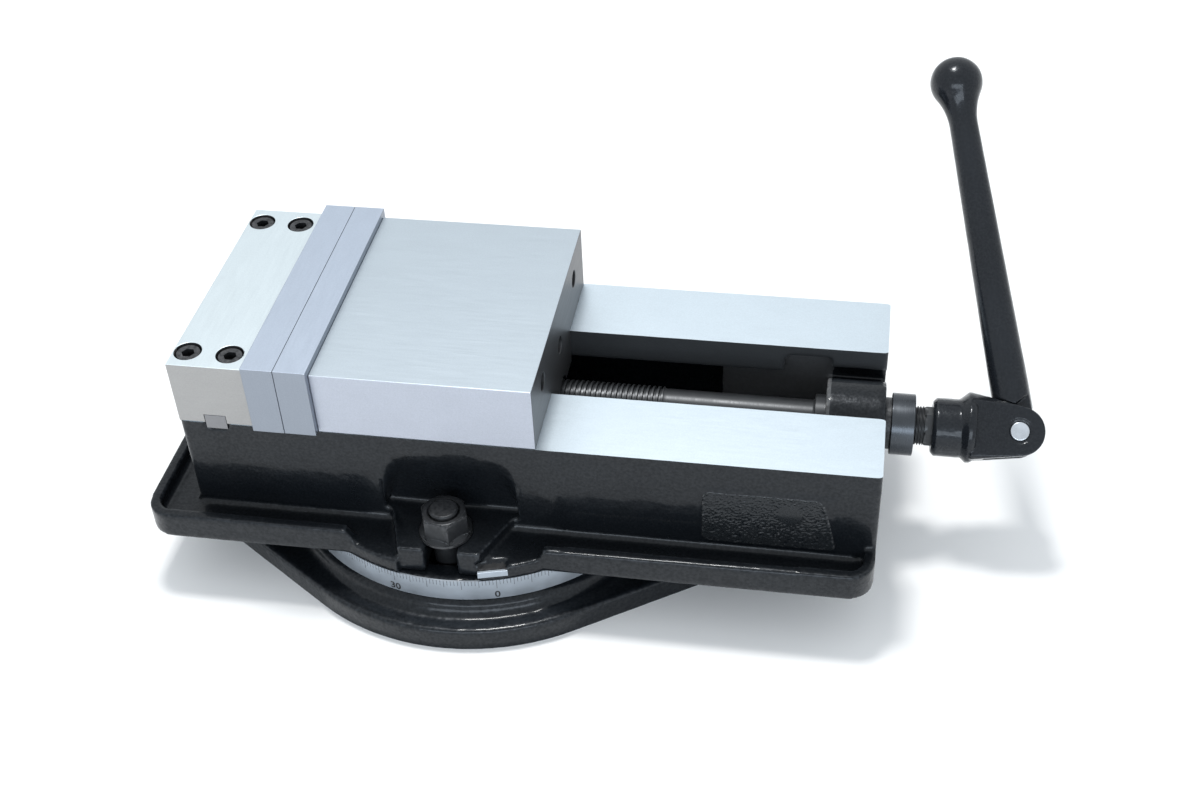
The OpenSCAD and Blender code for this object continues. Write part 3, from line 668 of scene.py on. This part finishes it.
def pad_height(x, z):
    """The rough relief, in millimetres above the wall."""
    at = Vector((x / 1.7, z / 1.0, 0.3))
    bend = noise.noise(Vector((x / 5, z / 4, 4.2)))
    worm = noise.noise(at + Vector((bend * 1.1, bend * 2.0, 0)))
    crumb = noise.noise(Vector((x / 1.3, z / 0.9, 9.1)))
    spot = min(max((hypot(x - SPOT_AT[0], z - SPOT_AT[1]) - SPOT_R) / 1.6, 0), 1)
    rough = 0.95 + spot * (0.34 * worm + 0.32 * crumb) + (1 - spot) * 0.1
    lip = 0.35 * exp(-((pad_end(z) - x - 1.4) ** 2))
    return -0.5 + (rough + lip + 0.5) * ease(min(max(pad_margin(x, z) / 1.3, 0), 1))


def name_pad():
    """The rough raised panel on the near wall, left blank, with a smooth round spot."""
    x0, x1 = PAD_X
    z0, z1 = PAD_Z
    cell = 0.42
    across, up = int((x1 - x0) / cell), int((z1 - z0) / cell)
    rows = []
    for j in range(up + 1):
        z = z0 + (z1 - z0) * j / up
        xs = [x0 + (x1 - x0) * i / across for i in range(across + 1)]
        rows.append([(x * MM, (-WALL_Y - pad_height(x, z)) * MM, z * MM) for x in xs])
    shell = Shell()
    shell.grid(rows)
    made = shell.make("blank_name_pad")
    finish_piece(made, "bed", [M["pad_paint"]])


graduated_ring()
stamped_numbers()
threaded_screw()
name_pad()

# ---------------------------------------------------------------- carried-over nodes

# Each node's edge width in millimetres and its materials, as soften_edges takes them
DRESS = {
    "swivel_pivot": (0.5, "bright"),
    "index_plate": (0.3, "ring"),
    "near_t_bolt": (0.4, "oxide"),
    "far_t_bolt": (0.4, "oxide"),
    "near_clamp_nut": (0.5, "oxide"),
    "far_clamp_nut": (0.5, "oxide"),
    "stationary_jaw": (0.5, "fixed_top", "fixed_side", "fixed_side", "bore"),
    "stationary_jaw_key": (0.5, "key"),
    "stationary_jaw_screws": (0.3, "oxide"),
    "fixed_jaw_plate": (0.35, "plate_top", "plate_side", "plate_side", "bore"),
    "fixed_jaw_plate_screws": (0.3, "oxide"),
    "movable_jaw": (0.5, "moving_top", "moving_side", "moving_end", "bore"),
    "movable_jaw_plate": (0.35, "plate_top", "plate_side", "plate_side", "bore"),
    "movable_jaw_plate_screws": (0.3, "oxide"),
    "jaw_nut": (0.5, "screw"),
    "ball_segment": (0.2, "hard"),
    "jaw_set_screw": (0.2, "oxide"),
    "thrust_washer_inner": (0.3, "hard"),
    "thrust_cage": (0.2, "cage"),
    "thrust_balls": (0.1, "hard"),
    "thrust_washer_outer": (0.3, "hard"),
    "end_washer": (0.3, "oxide"),
    "screw_collar": (0.5, "collar"),
    "collar_set_screw": (0.2, "oxide"),
    "crank_pivot_pin": (0.6, "bright"),
}
for node, (width, *keys) in DRESS.items():
    soften_edges(node, width, [M[key] for key in keys])

# ---------------------------------------------------------------- floor, light


FLOOR_HALF = 6.0
FLOOR_DROP = -0.0002


def stage_plane():
    """The pale floor, just under the base."""
    mesh = bpy.data.meshes.new("floor")
    half = FLOOR_HALF
    corners = [(x, y, FLOOR_DROP) for x, y in ((-half, -half), (half, -half), (half, half), (-half, half))]
    mesh.from_pydata(corners, [], [(0, 1, 2, 3)])
    made = link("floor", mesh)
    p = Paint("floor_paper", rough=0.7)
    p.colour(p.blend(p.noise(90, 2), (0.90, 0.905, 0.91), (0.92, 0.925, 0.93)))
    mesh.materials.append(p.material)


def area_light(name, at, towards, size, power, tint):
    """A soft rectangular light at one point, turned towards another."""
    data = bpy.data.lights.new(name, "AREA")
    data.shape = "RECTANGLE"
    data.size, data.size_y = size
    data.energy = power
    data.color = tint
    made = bpy.data.objects.new(name, data)
    made.location = at
    made.rotation_euler = (Vector(towards) - Vector(at)).to_track_quat("-Z", "Y").to_euler()
    bpy.context.scene.collection.objects.link(made)


stage_plane()
world = bpy.data.worlds.new("studio")
world.use_nodes = True
bpy.context.scene.world = world
sky = world.node_tree.nodes["Background"]
sky.inputs["Color"].default_value = (0.93, 0.97, 1.0, 1)
sky.inputs["Strength"].default_value = 0.85
area_light("overhead", (-0.1, 0.25, 1.7), (0, 0, 0.08), (0.3, 0.24), 17, (1, 0.99, 0.97))
area_light("window", (0.3, -2.2, 0.75), (0, 0, 0.1), (2.2, 0.7), 22, (0.82, 0.91, 1.0))
bpy.context.scene.view_settings.view_transform = "Standard"
